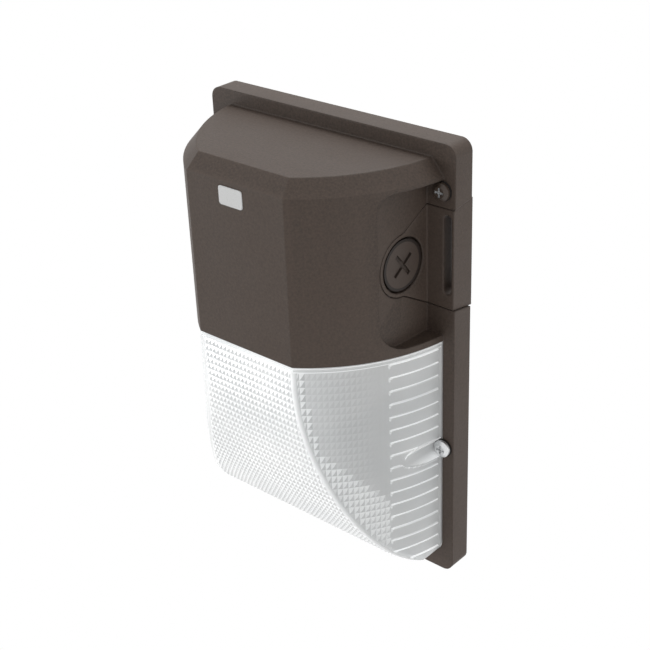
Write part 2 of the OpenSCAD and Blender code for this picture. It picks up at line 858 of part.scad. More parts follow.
module gear_tray() {
    color(white_c)
    difference() {
        union() {
            block(-tray_half, tray_half, tray_y + tray_t, tray_y, -tray_low, dome_low - lens_t);
            block(-tray_neck, tray_neck, tray_y + tray_t, tray_y, 0, tray_top);
        }
        for (s = [-1, 1], p = tray_posts)
            peg(s * p[0], p[1], small_r + fit_gap, tray_y + 2 * over, tray_y - over);
        peg(supply_x, supply_z, grommet_r, tray_y + tray_t + over, tray_y - over);
        peg(0, 0, grommet_r / 2, tray_y + tray_t + over, tray_y - over);
        for (p = driver_tabs)
            peg(p[0], p[1], small_r + fit_gap, tray_y + tray_t + over, tray_y - over);
        for (s = [-1, 1], t = [-1, 1])
            peg(s * board_sx, -board_z + t * board_sz, small_r + fit_gap,
                tray_y + tray_t + over, tray_y - over);
    }
}

supply_x = -driver_w * 0.16;
supply_z = driver_z * 0.68;
grommet_r = lead_r * 4;
driver_tabs = [[-tab_x, driver_z - tab_h / 2], [tab_x, driver_z - tab_h / 2],
               [-tab_x, driver_z + driver_h + tab_h / 2], [tab_x, driver_z + driver_h + tab_h / 2]];
board_sx = board_w * 0.45;
board_sz = board_h * 0.44;

// Small pan-head screw driven from the front
module small_screw(x, z, under, tip) {
    difference() {
        union() {
            peg(x, z, small_r, under + small_head_h / 2, tip);
            peg(x, z, small_head, under + small_head_h, under);
        }
        cross_cut(x, z, under + small_head_h, small_head, small_head * 0.26,
                  small_head_h * 0.6);
    }
}

module tray_screws() {
    color(steel_c)
    for (s = [-1, 1], p = tray_posts)
        small_screw(s * p[0], p[1], tray_y + tray_t + fit_gap, box_floor + 2 * over);
}

module driver() {
    base = tray_y + tray_t + fit_gap;
    color(steel_c)
    difference() {
        union() {
            block(-driver_w / 2, driver_w / 2, base + driver_d, base, driver_z,
                  driver_z + driver_h);
            for (p = driver_tabs)
                block(p[0] - tab_h / 2, p[0] + tab_h / 2, base + tray_t, base,
                      p[1] - tab_h / 2 - fit_gap, p[1] + tab_h / 2 + fit_gap);
        }
        for (p = driver_tabs)
            peg(p[0], p[1], small_r + fit_gap, base + tray_t + over, base - over);
    }
}

module driver_screws() {
    color(steel_c)
    for (p = driver_tabs)
        small_screw(p[0], p[1], tray_y + 2 * tray_t + 2 * fit_gap, tray_y - tray_t);
}

module led_board() {
    color(white_c)
    difference() {
        block(-board_w / 2, board_w / 2, board_top, tray_y + tray_t + fit_gap,
              -board_z - board_h / 2, -board_z + board_h / 2);
        for (s = [-1, 1], t = [-1, 1])
            peg(s * board_sx, -board_z + t * board_sz, small_r + fit_gap, board_top + over,
                tray_y);
    }
}

chip_cols = 5;
chip_rows = 5;
chip_px = board_w * 0.18;
chip_pz = board_h * 0.18;

module led_chips() {
    color(clear_c)
    for (i = [0 : chip_cols - 1], j = [0 : chip_rows - 1])
        block(chip_x(i) - chip / 2, chip_x(i) + chip / 2, board_top + chip_h, board_top,
              chip_z(j) - chip / 2, chip_z(j) + chip / 2);
}

function chip_x(i) = (i - (chip_cols - 1) / 2) * chip_px;
function chip_z(j) = -board_z + (j - (chip_rows - 1) / 2) * chip_pz;

module board_screws() {
    color(steel_c)
    for (s = [-1, 1], t = [-1, 1])
        small_screw(s * board_sx, -board_z + t * board_sz, mirror_y + mirror_t + fit_gap,
                    tray_y - tray_t);
}

module reflector() {
    w = tray_half;
    z0 = -board_z - board_h / 2 - mirror_t;
    z1 = -board_z + board_h / 2;
    color(white_c)
    difference() {
        union() {
            block(-w, w, mirror_y + mirror_t, mirror_y, z0, z1);
            for (s = [-1, 1]) for_side(s)
                block(w - mirror_t, w, mirror_y + mirror_wall, mirror_y, z0, z1);
            block(-w, w, mirror_y + mirror_wall, mirror_y, z0, z0 + mirror_t);
        }
        for (i = [0 : chip_cols - 1], j = [0 : chip_rows - 1])
            peg(chip_x(i), chip_z(j), mirror_hole, mirror_y + mirror_t + over, mirror_y - over);
        for (s = [-1, 1], t = [-1, 1])
            peg(s * board_sx, -board_z + t * board_sz, small_r + fit_gap,
                mirror_y + mirror_t + over, mirror_y - over);
        block(-lead_gate, lead_gate, mirror_y + mirror_t + over, mirror_y - over,
              z1 - 2 * lead_gate, z1 + over);
    }
}
lead_gate = lead_r * 5;

module lens_clips() {
    color(steel_c)
    for (s = [-1, 1])
        difference() {
            block(s * clip_x - clip_w / 2, s * clip_x + clip_w / 2,
                  flange_back - fit_gap, flange_back - clip_t,
                  -clip_z - clip_room, -lens_low - flange_t / 2);
            peg(s * clip_x, -clip_z, clip_screw_r + fit_gap, flange_back + over,
                flange_back - clip_t - over);
        }
}

module lens_clip_screws() {
    color(steel_c)
    for (s = [-1, 1]) {
        peg(s * clip_x, -clip_z, clip_screw_r, rim_back - fit_gap,
            flange_back - clip_t - small_head_h / 2);
        peg(s * clip_x, -clip_z, clip_room - fit_gap, flange_back - clip_t - fit_gap,
            flange_back - clip_t - small_head_h * 0.7);
    }
}

module sensor_window() {
    front = dome_depth + window_proud;
    inside = dome_depth - dome_wall;
    color(clear_c) {
        translate([window_x, -inside, window_z])
            rotate([90, 0, 0])
                linear_extrude(front - inside)
                    rounded(window_w - 2 * fit_gap, window_h - 2 * fit_gap, window_r);
        translate([window_x, -inside + window_ledge_t + fit_gap, window_z])
            rotate([90, 0, 0])
                linear_extrude(window_ledge_t)
                    rounded(window_w + window_ledge, window_h + window_ledge, window_r);
        block(window_x - window_w / 4, window_x + window_w / 4, inside + fit_gap,
              inside - window_ledge_t, window_z - window_h / 4, window_z + window_h / 4);
    }
}

sensor_y = dome_depth - dome_wall - 2 * window_ledge_t;
sensor_h = window_h * 0.6;
sensor_d = window_h * 0.5;
strip_z = window_z - sensor_h / 2;

module light_sensor() {
    color(rubber_c)
    difference() {
        block(window_x - window_w * 0.3, window_x + window_w * 0.3, sensor_y, sensor_y - sensor_d,
              strip_z + fit_gap, strip_z + sensor_h);
        peg(window_x, window_z, sensor_h * 0.25, sensor_y + over, sensor_y - sensor_d / 2);
    }
}

driver_front = tray_y + tray_t + driver_d + fit_gap;
drop_y = driver_front + 2 * lead_r;
module sensor_bracket() {
    base = tray_y + tray_t + fit_gap;
    color(steel_c) {
        difference() {
            block(window_x - window_w / 2, window_x + window_w / 2, sensor_y, base,
                  strip_z - tray_t, strip_z);
            block(window_x - 3 * lead_r, window_x + 3 * lead_r, drop_y + 1.4 * lead_r,
                  drop_y - 1.4 * lead_r, strip_z - tray_t - over, strip_z + over);
        }
        block(window_x - window_w / 2, window_x + window_w / 2, base + tray_t, base,
              driver_z + driver_h + tray_t, strip_z);
    }
}

module terminal_block() {
    color(white_c)
    difference() {
        block(term_x - term_w / 2, term_x + term_w / 2, box_deep + tray_t, box_floor + fit_gap,
              term_z - term_h / 2, term_z + term_h / 2);
        for (s = [-1, 0, 1])
            peg(term_x + s * term_w * 0.3, term_z, small_r * 1.6, box_deep + tray_t + over,
                box_deep - tray_t);
    }
}

module terminal_screws() {
    color(steel_c)
    for (s = [-1, 0, 1])
        difference() {
            peg(term_x + s * term_w * 0.3, term_z, small_r * 1.5, box_deep + tray_t / 2,
                box_deep - tray_t + fit_gap);
            cross_cut(term_x + s * term_w * 0.3, term_z, box_deep + tray_t / 2, small_r * 2,
                      small_r * 0.5, tray_t);
        }
}

module ground_screw() {
    color([0.2, 0.5, 0.25])
        small_screw(ground_x, ground_z, box_deep + fit_gap, box_floor + over);
}

// Round lead through a list of points, a little fuller at its bends
bend_share = 1.06;
module lead(points) {
    for (i = [0 : len(points) - 2]) stretch(points[i], points[i + 1]);
    for (i = [1 : len(points) - 2]) translate(points[i]) sphere(r = lead_r * bend_share);
}

module stretch(a, b) {
    d = b - a;
    translate(a)
        rotate([0, atan2(norm([d[0], d[1]]), d[2]), atan2(d[1], d[0])])
            cylinder(r = lead_r, h = norm(d));
}

lead_y = tray_y + tray_t + driver_d * 0.3;
wire_y = tray_y - 3 * lead_r;

module led_leads() {
    for (s = [-1, 1])
        color(s > 0 ? [0.7, 0.1, 0.1] : [0.1, 0.1, 0.1])
            lead([[s * 2 * lead_r, -lead_y, driver_z - fit_gap],
                  [s * 2 * lead_r, -lead_y, driver_z - 8 * lead_r],
                  [s * 2 * lead_r, -mirror_y - mirror_t - lead_r, -board_z + board_h / 2 + lead_r],
                  [s * 2 * lead_r, -board_top - lead_r - fit_gap,
                   -board_z + board_h / 2 - 3 * lead_r]]);
}

module supply_leads() {
    for (s = [-1, 1])
        color(s > 0 ? [0.9, 0.9, 0.9] : [0.1, 0.1, 0.1])
            lead([[supply_x + s * 1.5 * lead_r, -lead_y, driver_z - fit_gap],
                  [supply_x + s * 1.5 * lead_r, -lead_y, supply_z + s * 1.5 * lead_r],
                  [supply_x + s * 1.5 * lead_r, -wire_y, supply_z + s * 1.5 * lead_r],
                  [term_x + s * term_w * 0.3, -wire_y, supply_z + s * 1.5 * lead_r],
                  [term_x + s * term_w * 0.3, -wire_y, term_z + term_h * 1.2],
                  [term_x + s * term_w * 0.3, -box_deep + lead_r * 2, term_z + term_h],
                  [term_x + s * term_w * 0.3, -box_deep + lead_r * 2,
                   term_z + term_h / 2 + fit_gap]]);
}

module sensor_leads() {
    for (s = [-1, 1])
        color([0.1, 0.1, 0.1])
            lead([[window_x + s * 1.5 * lead_r, -sensor_y + sensor_d + fit_gap,
                   strip_z + 1.5 * lead_r],
                  [window_x + s * 1.5 * lead_r, -drop_y, strip_z + 1.5 * lead_r],
                  [window_x + s * 1.5 * lead_r, -drop_y, driver_z + driver_h * 0.9],
                  [window_x + s * 1.5 * lead_r, -driver_front - fit_gap,
                   driver_z + driver_h * 0.9]]);
}

rear_box();
front_housing();
refractor_lens();
lens_gasket();
door_gasket();
wall_gasket();
lens_clips();
lens_clip_screws();
hinge_pins();
cover_screw(screw_up_x, screw_up_z);  // screw_upper
cover_screw(screw_low_x, -screw_low_z);  // screw_lower
cover_washer(screw_up_x, screw_up_z);  // washer_upper
cover_washer(screw_low_x, -screw_low_z);  // washer_lower
conduit_plug();  // conduit_plug_right
for_side(-1) conduit_plug();  // conduit_plug_left
plug_seal();  // plug_seal_right
for_side(-1) plug_seal();  // plug_seal_left
gear_tray();
tray_screws();
driver();
driver_screws();
led_board();
led_chips();
board_screws();
reflector();
sensor_window();
light_sensor();
sensor_bracket();
terminal_block();
terminal_screws();
ground_screw();
led_leads();
supply_leads();
sensor_leads();
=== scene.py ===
import math
import bpy
from mathutils import Matrix, Vector


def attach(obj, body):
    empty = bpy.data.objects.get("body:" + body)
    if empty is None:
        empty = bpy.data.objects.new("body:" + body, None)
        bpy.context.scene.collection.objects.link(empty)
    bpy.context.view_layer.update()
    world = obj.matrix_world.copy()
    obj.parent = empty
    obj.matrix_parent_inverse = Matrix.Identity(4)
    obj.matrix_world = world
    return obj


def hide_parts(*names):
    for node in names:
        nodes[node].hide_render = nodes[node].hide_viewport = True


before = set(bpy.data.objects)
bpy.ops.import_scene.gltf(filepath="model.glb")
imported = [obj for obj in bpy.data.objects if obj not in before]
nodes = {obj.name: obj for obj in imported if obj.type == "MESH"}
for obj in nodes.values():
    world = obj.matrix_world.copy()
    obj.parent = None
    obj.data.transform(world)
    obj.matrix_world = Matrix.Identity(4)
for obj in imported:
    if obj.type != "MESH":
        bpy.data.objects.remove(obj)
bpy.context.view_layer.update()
MM = 0.001


# Materials

CLOUD_GRAIN = 38.0                  # scale of the soft blotches
CLOUD_SHARE, CLOUD_DARK = 0.25, 0.86
CLOUD_FROM, CLOUD_TO = 0.35, 0.65
EDGE_PALE_FROM, EDGE_PALE_TO = 0.52, 0.60     # pointiness where sharp edges start to turn paler, and where they are palest
GLOSS_SPREAD = 0.07
BUMP_DEEP = 0.0002                  # metres


def new_material(name):
    m = bpy.data.materials.new(name)
    m.use_nodes = True
    m.node_tree.nodes.clear()
    out = m.node_tree.nodes.new("ShaderNodeOutputMaterial")
    bsdf = m.node_tree.nodes.new("ShaderNodeBsdfPrincipled")
    m.node_tree.links.new(bsdf.outputs[0], out.inputs[0])
    return m, m.node_tree, bsdf


def add(tree, kind, **values):
    n = tree.nodes.new(kind)
    for k, v in values.items():
        if hasattr(n, k):
            setattr(n, k, v)
        else:
            n.inputs[k.replace("_", " ")].default_value = v
    return n


def put(tree, socket, value):
    """Links an output to a socket, or sets the socket's own value."""
    if isinstance(value, bpy.types.NodeSocket):
        tree.links.new(value, socket)
    else:
        socket.default_value = value


def maths(tree, operation, *values):
    """Output of a Math node on the given values."""
    n = add(tree, "ShaderNodeMath", operation=operation)
    for socket, value in zip(n.inputs, values):
        put(tree, socket, value)
    return n.outputs[0]


def vector_maths(tree, operation, *values, result="Vector"):
    """Output of a Vector Math node on the given values."""
    n = add(tree, "ShaderNodeVectorMath", operation=operation)
    for socket, value in zip(n.inputs, values):
        put(tree, socket, value)
    return n.outputs[result]


def axes(tree, vector):
    """Outputs X, Y and Z of a vector."""
    n = add(tree, "ShaderNodeSeparateXYZ")
    tree.links.new(vector, n.inputs[0])
    return n.outputs


def map_range(tree, value, **limits):
    """Output of a Map Range node, with limits such as From_Min."""
    n = add(tree, "ShaderNodeMapRange", **limits)
    tree.links.new(value, n.inputs["Value"])
    return n.outputs[0]


def mix_colours(tree, factor, a, b, **settings):
    """Output of a colour Mix node."""
    n = add(tree, "ShaderNodeMix", data_type="RGBA", **settings)
    for key, value in (("Factor", factor), ("A", a), ("B", b)):
        put(tree, n.inputs[key], value)
    return n.outputs["Result"]


def noise(tree, vector, scale, detail, roughness):
    """Output of a noise over a surface."""
    n = add(tree, "ShaderNodeTexNoise", Scale=scale, Detail=detail, Roughness=roughness)
    tree.links.new(vector, n.inputs["Vector"])
    return n.outputs["Fac"]


def two_tone(tree, value, dark, light):
    """Colour that goes from dark to light over the middle of a noise."""
    ramp = add(tree, "ShaderNodeValToRGB")
    for i, (position, colour) in enumerate(((0.3, dark), (0.7, light))):
        ramp.color_ramp.elements[i].position = position
        ramp.color_ramp.elements[i].color = colour
    tree.links.new(value, ramp.inputs[0])
    return ramp.outputs["Color"]


def relief_of(tree, height, strength):
    """Bump node on a height."""
    n = add(tree, "ShaderNodeBump", Strength=strength, Distance=BUMP_DEEP)
    tree.links.new(height, n.inputs["Height"])
    return n


def linear(r, g, b):
    def one(c):
        c /= 255.0
        return c / 12.92 if c <= 0.04045 else ((c + 0.055) / 1.055) ** 2.4
    return (one(r), one(g), one(b), 1.0)


def finish_of(name, rgb, rough, metal=0.0, grain=1200.0, spread=0.12, bump=0.12, edge_paling=0.0,
              edge=0.0, specular=0.5, stretch=(1, 1, 1), extra=None):
    """Coloured surface with cloudy and fine variation, bump, soft edges and paler sharp edges.

    extra takes the tree, the coordinates and the colour, and returns a colour.
    """
    m, t, b = new_material(name)
    b.inputs["Metallic"].default_value = metal
    b.inputs["Specular IOR Level"].default_value = specular
    where = add(t, "ShaderNodeTexCoord")
    scale = add(t, "ShaderNodeMapping", Scale=stretch)
    t.links.new(where.outputs["Object"], scale.inputs["Vector"])
    fine = noise(t, scale.outputs[0], grain, 4.0, 0.65)
    cloud = noise(t, scale.outputs[0], CLOUD_GRAIN, 3.0, 0.5)
    base = linear(*rgb)[:3]
    dark = tuple(c * (1 - spread) for c in base) + (1,)
    light = tuple(min(1, c * (1 + spread)) for c in base) + (1,)
    shade = map_range(t, cloud, From_Min=CLOUD_FROM, From_Max=CLOUD_TO,
                      To_Min=CLOUD_DARK, To_Max=1.0)
    colour = mix_colours(t, CLOUD_SHARE, two_tone(t, fine, dark, light), shade,
                         blend_type="MULTIPLY")
    # sharp edges turn paler, by pointiness
    if edge_paling > 0:
        edges = add(t, "ShaderNodeNewGeometry")
        edge_pale_share = map_range(t, edges.outputs["Pointiness"], From_Min=EDGE_PALE_FROM,
                         From_Max=EDGE_PALE_TO, To_Max=edge_paling)
        pale_edge_colour = tuple(min(1, c * 1.7 + 0.01) for c in base) + (1,)
        colour = mix_colours(t, edge_pale_share, colour, pale_edge_colour)
    if extra is not None:
        colour = extra(t, where, colour)
    t.links.new(colour, b.inputs["Base Color"])
    gloss = map_range(t, cloud, To_Min=max(0.02, rough - GLOSS_SPREAD),
                      To_Max=min(1.0, rough + GLOSS_SPREAD))
    t.links.new(gloss, b.inputs["Roughness"])
    relief = relief_of(t, fine, bump)
    if edge > 0:
        soft = add(t, "ShaderNodeBevel", samples=6, Radius=edge)
        t.links.new(soft.outputs[0], relief.inputs["Normal"])
    t.links.new(relief.outputs[0], b.inputs["Normal"])
    return m


paint = finish_of("bronze_powder_coat", (72, 60, 52), 0.56, grain=950.0, spread=0.34,
                  bump=0.45, edge_paling=0.35, edge=0.0011, specular=0.42)
rubber = finish_of("black_rubber", (30, 29, 29), 0.78, grain=900.0, spread=0.2, bump=0.3,
                   specular=0.3)
dark_rubber = finish_of("washer_rubber", (34, 31, 30), 0.7, grain=1600.0, spread=0.2,
                        bump=0.3, specular=0.3)
steel = finish_of("zinc_steel", (196, 198, 200), 0.3, metal=1.0, grain=900.0, spread=0.08,
                  bump=0.12, edge=0.0002, stretch=(1, 1, 6))
bright = finish_of("bright_screw", (232, 233, 234), 0.34, metal=0.75, grain=1300.0,
                   spread=0.06, bump=0.12, edge=0.0003)
tray = finish_of("tray_enamel", (232, 232, 228), 0.4, grain=800.0, spread=0.04, bump=0.15,
                 edge=0.0003)
case = finish_of("driver_case", (206, 208, 210), 0.36, metal=0.85, grain=700.0, spread=0.07,
                 bump=0.15, edge=0.0006, stretch=(1, 1, 9))
board = finish_of("board_solder_mask", (238, 239, 236), 0.33, grain=420.0, spread=0.03,
                  bump=0.08, edge=0.0002)
mirror = finish_of("reflector_enamel", (240, 240, 238), 0.28, grain=500.0, spread=0.03,
                   bump=0.08, edge=0.0003)
window = finish_of("window_pale", (250, 251, 250), 0.3, grain=1500.0, spread=0.05, bump=0.1,
                   edge=0.0004)
sensor = finish_of("sensor_case", (32, 31, 33), 0.38, grain=1200.0, spread=0.15, bump=0.1,
                   edge=0.0003)
block = finish_of("terminal_nylon", (226, 225, 218), 0.45, grain=900.0, spread=0.04,
                  bump=0.12, edge=0.0003)
ground = finish_of("ground_green", (48, 118, 66), 0.38, metal=0.5, grain=1300.0, spread=0.1,
                   bump=0.12, edge=0.0002)
lead = finish_of("lead_sheath", (30, 30, 31), 0.45, grain=900.0, spread=0.12, bump=0.1)


# Places on the pieces, in metres, for the marks below
CHIP_GRID = (("X", 0.0, 0.01656), ("Z", -0.037, 0.01512))   # axis, middle and pitch
CHIP_GEL_HALF = 0.0014
PLUG_CENTRE = (0.05597, 0.02893, 0.0573)    # without signs, so that it serves both plugs
PLUG_AXIS = (0.99813, 0.06105, 0.0)
# radii over which the painted shade of the groove round each plug comes in
PLUG_GROOVE_SHADE_R = (0.0104, 0.0107)
UPPER_SCREW = (0.0656, 0.0, 0.089)
RECESS_R, RECESS_Y = 0.00262, -0.01630


def chip_face(t, where, colour):
    """Yellow gel in the middle of each LED, white frame round it, from the chip's own place."""
    place = axes(t, where.outputs["Object"])
    inside = []
    for axis, middle, pitch in CHIP_GRID:
        shift = maths(t, "SUBTRACT", place[axis], middle - pitch / 2)
        wrap = maths(t, "WRAP", shift, pitch, 0.0)
        size = maths(t, "ABSOLUTE", maths(t, "SUBTRACT", wrap, pitch / 2))
        inside.append(maths(t, "LESS_THAN", size, CHIP_GEL_HALF))
    both = maths(t, "MULTIPLY", *inside)
    return mix_colours(t, both, linear(236, 236, 230), colour)


def plug_groove_shade(t, where, colour):
    """Painted shade of the groove round a plug: a dark band in the border of its face, about
    the plug's own axis.
    """
    place = vector_maths(t, "ABSOLUTE", where.outputs["Object"])
    off = vector_maths(t, "SUBTRACT", place, PLUG_CENTRE)
    turn = vector_maths(t, "CROSS_PRODUCT", off, PLUG_AXIS)
    size = vector_maths(t, "LENGTH", turn, result="Value")
    # painted shade: the border of the face darkens where the groove round the plug lies
    groove_shade = map_range(t, size, From_Min=PLUG_GROOVE_SHADE_R[0], From_Max=PLUG_GROOVE_SHADE_R[1])
    return mix_colours(t, groove_shade, colour, linear(34, 25, 20))


def dark_head(t, where, colour):
    """Screw head in a dark bronze colour, bright in the middle where its recess lies."""
    off = vector_maths(t, "SUBTRACT", where.outputs["Object"], UPPER_SCREW)
    flat = vector_maths(t, "MULTIPLY", off, (1, 0, 1))
    size = vector_maths(t, "LENGTH", flat, result="Value")
    near = maths(t, "LESS_THAN", size, RECESS_R)
    deep = maths(t, "GREATER_THAN", axes(t, where.outputs["Object"])["Y"], RECESS_Y)
    return mix_colours(t, maths(t, "MULTIPLY", near, deep), colour, linear(228, 230, 232))


plug_paint = finish_of("bronze_plug", (71, 60, 53), 0.52, grain=1700.0, spread=0.14,
                       bump=0.25, edge_paling=0.3, edge=0.0004, specular=0.42, extra=plug_groove_shade)
chip = finish_of("chip_gel", (236, 206, 70), 0.35, grain=1800.0, spread=0.08, bump=0.1,
                 extra=chip_face)
dark_screw = finish_of("dark_headed_screw", (70, 58, 50), 0.42, grain=1500.0, spread=0.12,
                       bump=0.2, edge=0.0003, extra=dark_head)

LENS_PAINTED_LIGHT = {"From_Min": -0.06, "From_Max": 0.52}    # range of the painted facet light: how far a facet faces the light


def lens_material(name, side):
    """Clear moulded plastic: milky in bulk, glossy outside, with fine moulding marks. Facets
    turned to the light are painted lighter, and the plastic gives off a painted glow.

    side is -1 for the front and the right side, and 1 for the left, its mirror image; it also
    mirrors the direction of the painted light.
    """
    m, t, b = new_material(name)
    b.inputs["Transmission Weight"].default_value = 0.35
    b.inputs["IOR"].default_value = 1.49
    b.inputs["Specular IOR Level"].default_value = 0.6
    where = add(t, "ShaderNodeTexCoord")
    fine = noise(t, where.outputs["Object"], 600.0, 3.0, 0.5)
    cloud = noise(t, where.outputs["Object"], 26.0, 2.0, 0.5)
    milk = two_tone(t, cloud, linear(232, 234, 235), linear(246, 247, 247))
    # painted light: prisms turned up and to the front are painted lighter than those turned
    # away, as if they passed more light
    turn = vector_maths(t, "DOT_PRODUCT", where.outputs["Normal"],
                        (side * 0.42, -0.50, 0.76), result="Value")
    # painted light from below: the curved underside is painted lighter, as if the floor's light
    # passed through it
    under = maths(t, "MULTIPLY_ADD", axes(t, where.outputs["Normal"])["Z"], -1.3, -0.42)
    painted_light_share = maths(t, "ADD", turn, maths(t, "MAXIMUM", under, 0.0))
    painted_facet_light = map_range(t, painted_light_share, To_Min=0.66, **LENS_PAINTED_LIGHT)
    tone = mix_colours(t, 1.0, milk, painted_facet_light, blend_type="MULTIPLY")
    t.links.new(tone, b.inputs["Base Color"])
    t.links.new(tone, b.inputs["Emission Color"])
    # painted glow: a little light of its own, stronger on facets that face the painted light,
    # stands in for what the clear plastic carries
    painted_glow = map_range(t, painted_light_share, To_Min=0.19, To_Max=0.38, **LENS_PAINTED_LIGHT)
    t.links.new(painted_glow, b.inputs["Emission Strength"])
    t.links.new(map_range(t, fine, To_Min=0.16, To_Max=0.28), b.inputs["Roughness"])
    t.links.new(relief_of(t, fine, 0.06).outputs[0], b.inputs["Normal"])
    return m


# two copies of the lens look, with the painted light mirrored for the left side
lens_look = lens_material("clear_prismatic", -1)
lens_look_left = lens_material("clear_prismatic_left", 1)

LOOKS = {
    "rear_box": paint, "front_housing": paint, "refractor_lens": lens_look,
    "lens_gasket": rubber, "door_gasket": rubber, "wall_gasket": rubber,
    "lens_clips": steel, "lens_clip_screws": steel, "hinge_pins": steel,
    "screw_upper": dark_screw, "screw_lower": bright,
    "washer_upper": dark_rubber, "washer_lower": dark_rubber,
    "conduit_plug_right": plug_paint, "conduit_plug_left": plug_paint,
    "plug_seal_right": rubber, "plug_seal_left": rubber,
    "gear_tray": tray, "tray_screws": steel, "driver": case, "driver_screws": steel,
    "led_board": board, "led_chips": chip, "board_screws": steel, "reflector": mirror,
    "sensor_window": window, "light_sensor": sensor, "sensor_bracket": steel,
    "terminal_block": block, "terminal_screws": steel, "ground_screw": ground,
    "led_leads": lead, "supply_leads": lead, "sensor_leads": lead,
}
for name, look in LOOKS.items():
    o = nodes[name]
    if not o.material_slots:
        o.data.materials.append(look)
    for s in o.material_slots:
        s.material = look


# Refractor lens. Sizes are in millimetres, the same as those of the housing's lens.
# A side is an arc in plan, and its angles run round the centre of that arc.

CX, CY, SIDE_R = -17.410, -2.656, 84.0          # centre and radius of the side's arc
STEP, THICK = 0.8, 2.6                          # inset behind the dome, and the wall
RIM_Y, FRONT_Y, BEND_Z, LOW_Z = -13.4, -73.0, 9.6, -102.3
TOP_Z, PRISM_TOP = 16.4, 13.7
CORNER_R, ROOT_HALF = 9.0, 65.9
COL_F, ROW_F, PEAK_F = 2.4, 3.38, 0.78          # prisms of the front: cell and height
COL_S, ROW_S, PEAK_S = 2.5, 3.62, 0.75          # prisms of the sides
TINY, MIN_FULL = 0.02, 0.12                     # narrowest cell, least share of a height
BOLD_Z, BOLD_ANGLE, BOLD_SLOPE = -19.1, 53.3, 1.353     # below this line prisms are bold
BOLD_COLS, BOLD_FADE, FAINT = 2.2, 3.0, 0.13
RIB, RIB_DEEP, RIB_LIP = 6.8, 0.78, 0.06        # ribs: pitch, depth, share that rises
RIB_ROW, RIB_COLS = 0.42, 34
RIB_EDGE = math.radians(27.4)
BAND = 1.35                                     # half width left for the ridge
RIDGE_LAP, RIDGE_PROUD, RIDGE_COLS = 0.5, 0.42, 8
CHAN_X, CHAN_Z, CHAN_R = 66.6, -39.5, 5.2       # driver channel down the right side
CHAN_REACH, CHAN_FLARE = (RIM_Y - FRONT_Y) * 0.75, 0.75
CHAN_CLEAR, NO_CHANNEL = 0.6, -9.0              # growths: plain border, channel left out
POCKET_Y = -47.6                                # the lip stops in front of the pocket
LIP_OUT, LIP_IN, LIP_HIGH = 2.8, 4.8, 8         # lip inside the dome: insets and height
FLANGE_OUT, FLANGE_IN, FLANGE_IN_R = (68.5, -104.9), (61.6, -101.8), 5.4
FLANGE_FRONT_Y, FLANGE_BACK_Y, SEAT_Y = -10.1, -8.3, -10.9
BEAD_ROWS, BEAD_START, BEAD_STEP = 25, 0.6, 1.05
PLAN_COLS, INNER_ROW, INNER_COLS = 28, 1.5, 30


class Shell:
    """Lens surface at a given inset from the dome's surface."""

    def __init__(self, inset):
        self.r = SIDE_R - inset
        self.front = FRONT_Y + inset
        self.reach = RIM_Y - self.front
        self.drop = BEND_Z - LOW_Z - (inset - STEP)
        self.low = LOW_Z + (inset - STEP)
        self.half = ROOT_HALF - (inset - STEP)
        self.corner = CORNER_R - (inset - STEP)

    def side_x(self, y):
        return CX + math.sqrt(self.r ** 2 - (y - CY) ** 2)

    def front_y(self, z):
        c = min(1.0, max(0.0, (BEND_Z - z) / self.drop))
        return RIM_Y - self.reach * math.sqrt(1 - c * c)

    def front_normal(self, y, z):
        ny = (y - RIM_Y) / self.reach ** 2
        nz = min(0.0, z - BEND_Z) / self.drop ** 2
        k = math.hypot(ny, nz)
        return (0.0, ny / k, nz / k)

    def angle(self, y):
        return math.asin((CY - y) / self.r)

    def soften(self, x, y, z):
        """Keeps a point within the rounded lower corners."""
        cx, cz = self.half - self.corner, self.low + self.corner
        dx, dz = abs(x) - cx, cz - z
        if dx > 0 and dz > 0:
            d = math.hypot(dx, dz)
            if d > self.corner:
                k = self.corner / d
                return (math.copysign(cx + dx * k, x), y, cz - dz * k)
        return (x, y, z)


def rows_down(shell, top, pitch):
    """Heights down the front at even steps along its curve."""
    walk, near = 0.05, 0.01
    out, z, y, left = [top], top, shell.front_y(top), pitch
    while z > shell.low + TINY:
        nz = max(shell.low, z - walk)
        ny = shell.front_y(nz)
        left -= math.hypot(nz - z, ny - y)
        z, y = nz, ny
        if left <= 0:
            out.append(z)
            left += pitch
    if out[-1] - shell.low > near:
        out.append(shell.low)
    return out


def levels_down(top, low, pitch):
    """Heights at even steps straight down, the last one cut short."""
    out, z = [top], top
    while z > low:
        z = max(low, z - pitch)
        out.append(z)
    return out


